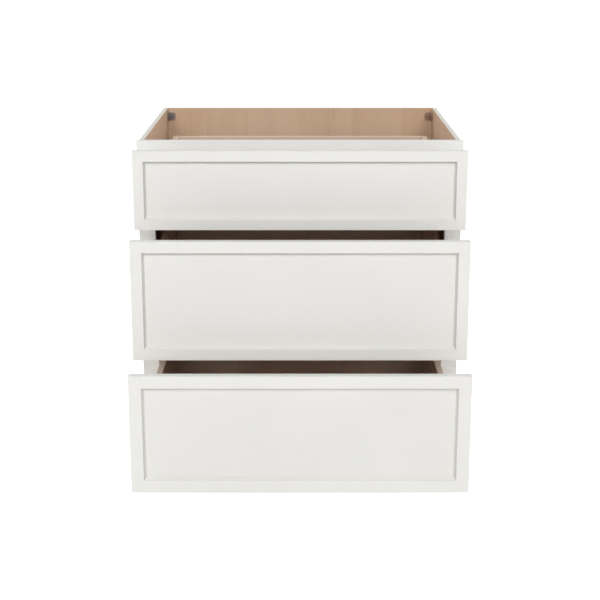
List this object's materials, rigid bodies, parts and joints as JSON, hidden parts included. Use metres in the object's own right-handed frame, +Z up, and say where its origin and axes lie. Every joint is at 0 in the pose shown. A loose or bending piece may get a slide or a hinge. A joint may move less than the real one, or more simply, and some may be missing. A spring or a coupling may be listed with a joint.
{
  "type": "base cabinet with drawers",
  "caption": "Face-frame kitchen base cabinet with an open top and slim framed drawer fronts; the drawers slide on full-extension runners below their boxes.",
  "frame": {"origin": "on the floor, at the middle of the object's outline with its drawers pulled out as stored; the face frame's front plane is at Y = -0.143775 m and the wall at Y = +0.465825 m", "axes": "+Z up, +Y towards the wall, +X to the right of someone who faces the drawers"},
  "size_m": [0.762, 0.9316, 0.8763],
  "materials": {
    "paint": "satin off-white paint on wood",
    "side_board": "plywood, off-white outside and clear maple inside",
    "plywood": "clear-coated maple plywood",
    "steel": "zinc-plated rolled steel",
    "grey_plastic": "moulded, fine texture",
    "brown_plastic": "moulded, fine texture"
  },
  "bodies": {
    "cabinet": {"side_panel_left": "side_board", "side_panel_right": "side_board", "back_panel": "plywood", "cabinet_floor": "plywood", "toe_kick_board": "paint", "face_stile_left": "paint", "face_stile_right": "paint", "face_top_rail": "paint", "face_bottom_rail": "paint", "corner_bracket_left": "grey_plastic", "corner_bracket_right": "brown_plastic", "top_runner_rail_left": "steel", "top_runner_rail_right": "steel", "middle_runner_rail_left": "steel", "middle_runner_rail_right": "steel", "bottom_runner_rail_left": "steel", "bottom_runner_rail_right": "steel"},
    "top_carriage": {"top_runner_carriage_left": "steel", "top_runner_carriage_right": "steel"},
    "top_drawer": {"top_front_stile_left": "paint", "top_front_stile_right": "paint", "top_front_top_rail": "paint", "top_front_bottom_rail": "paint", "top_front_panel": "paint", "top_box_side_left": "plywood", "top_box_side_right": "plywood", "top_box_front": "plywood", "top_box_back": "plywood", "top_box_bottom": "plywood", "top_runner_slide_left": "steel", "top_runner_slide_right": "steel"},
    "middle_carriage": {"middle_runner_carriage_left": "steel", "middle_runner_carriage_right": "steel"},
    "middle_drawer": {"middle_front_stile_left": "paint", "middle_front_stile_right": "paint", "middle_front_top_rail": "paint", "middle_front_bottom_rail": "paint", "middle_front_panel": "paint", "middle_box_side_left": "plywood", "middle_box_side_right": "plywood", "middle_box_front": "plywood", "middle_box_back": "plywood", "middle_box_bottom": "plywood", "middle_runner_slide_left": "steel", "middle_runner_slide_right": "steel"},
    "bottom_carriage": {"bottom_runner_carriage_left": "steel", "bottom_runner_carriage_right": "steel"},
    "bottom_drawer": {"bottom_front_stile_left": "paint", "bottom_front_stile_right": "paint", "bottom_front_top_rail": "paint", "bottom_front_bottom_rail": "paint", "bottom_front_panel": "paint", "bottom_box_side_left": "plywood", "bottom_box_side_right": "plywood", "bottom_box_front": "plywood", "bottom_box_back": "plywood", "bottom_box_bottom": "plywood", "bottom_runner_slide_left": "steel", "bottom_runner_slide_right": "steel"}
  },
  "joints": [
    {"name": "top_drawer_slide", "type": "slide", "parent": "cabinet", "child": "top_drawer", "axis": [0, -1, 0], "range_m": [-0.0985, 0.4095]},
    {"name": "top_carriage_slide", "type": "slide", "parent": "cabinet", "child": "top_carriage", "axis": [0, -1, 0], "range_m": [-0.04925, 0.20475]},
    {"name": "middle_drawer_slide", "type": "slide", "parent": "cabinet", "child": "middle_drawer", "axis": [0, -1, 0], "range_m": [-0.2, 0.308]},
    {"name": "middle_carriage_slide", "type": "slide", "parent": "cabinet", "child": "middle_carriage", "axis": [0, -1, 0], "range_m": [-0.1, 0.154]},
    {"name": "bottom_drawer_slide", "type": "slide", "parent": "cabinet", "child": "bottom_drawer", "axis": [0, -1, 0], "range_m": [-0.3015, 0.2065]},
    {"name": "bottom_carriage_slide", "type": "slide", "parent": "cabinet", "child": "bottom_carriage", "axis": [0, -1, 0], "range_m": [-0.15075, 0.10325]}
  ],
  "couplings": [
    {"joint": "top_carriage_slide", "follows": "top_drawer_slide", "ratio": 0.5},
    {"joint": "middle_carriage_slide", "follows": "middle_drawer_slide", "ratio": 0.5},
    {"joint": "bottom_carriage_slide", "follows": "bottom_drawer_slide", "ratio": 0.5}
  ]
}
